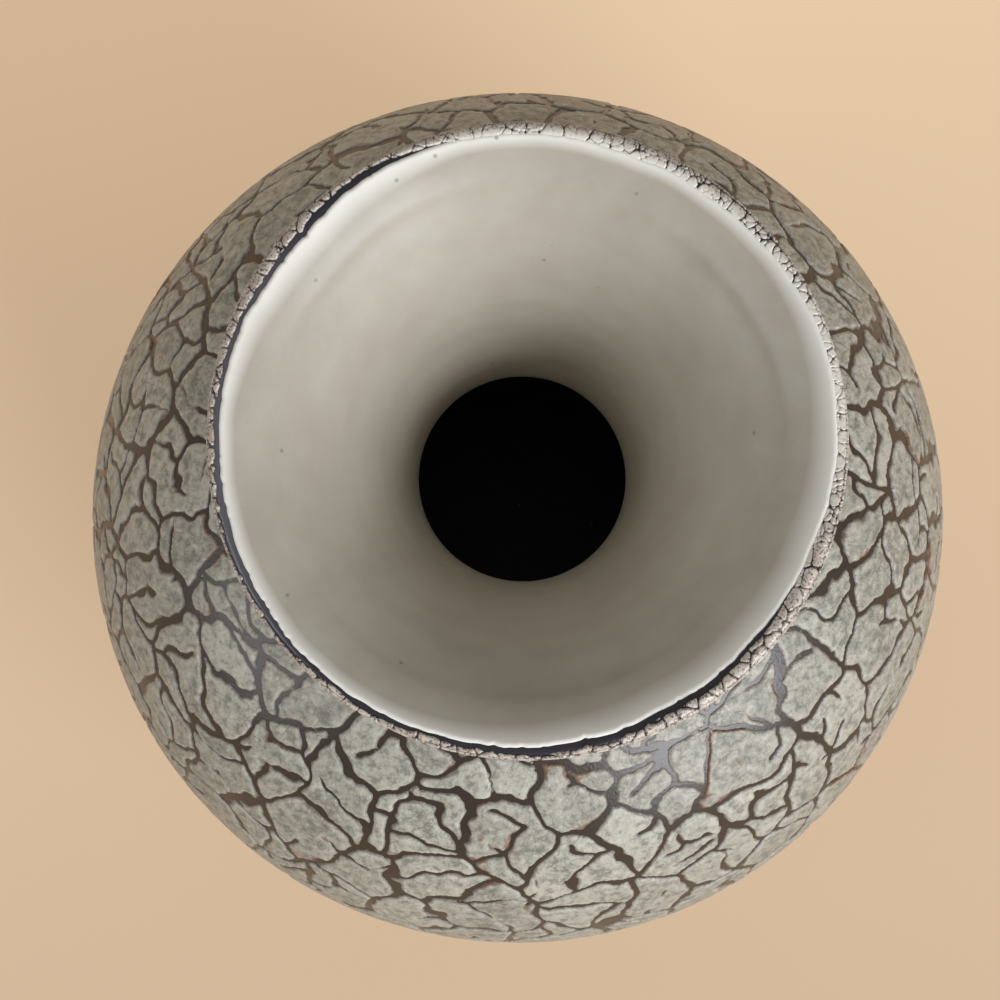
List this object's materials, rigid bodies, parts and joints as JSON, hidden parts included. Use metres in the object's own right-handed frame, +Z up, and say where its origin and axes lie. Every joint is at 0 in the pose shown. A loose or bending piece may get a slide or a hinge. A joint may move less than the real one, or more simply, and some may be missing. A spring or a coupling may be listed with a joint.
{
  "type": "vase",
  "caption": "Round-bellied stoneware vase with a narrow throat, a flared trumpet mouth, a crackled outer coat and a pale liner.",
  "frame": {"origin": "centre of the resting face of the foot ring", "axes": "+Z up along the axis that the vase is thrown on; X and Y are free, as the vase is round"},
  "size_m": [0.217, 0.217, 0.2611],
  "materials": {
    "stoneware_clay": "bare fired stoneware, matt and slightly gritty",
    "joining_slip": "fired joining slip, matt",
    "dark_slip": "iron-dark slip fired to a satin gloss",
    "crackle_coat": "grey-green crawled coat, satin, split into islands",
    "rim_crackle": "pinkish-cream fine crackle, satin",
    "liner_glaze": "smooth warm off-white glaze, satin gloss"
  },
  "bodies": {
    "root": {"foot_ring": "stoneware_clay", "foot_joint_slip": "joining_slip", "lower_bowl": "stoneware_clay", "equator_joint_slip": "joining_slip", "upper_bowl": "stoneware_clay", "neck_joint_slip": "joining_slip", "neck": "stoneware_clay", "dark_slip_coat": "dark_slip", "crackle_coat": "crackle_coat", "rim_crackle_band": "rim_crackle", "liner_glaze": "liner_glaze"}
  },
  "joints": []
}
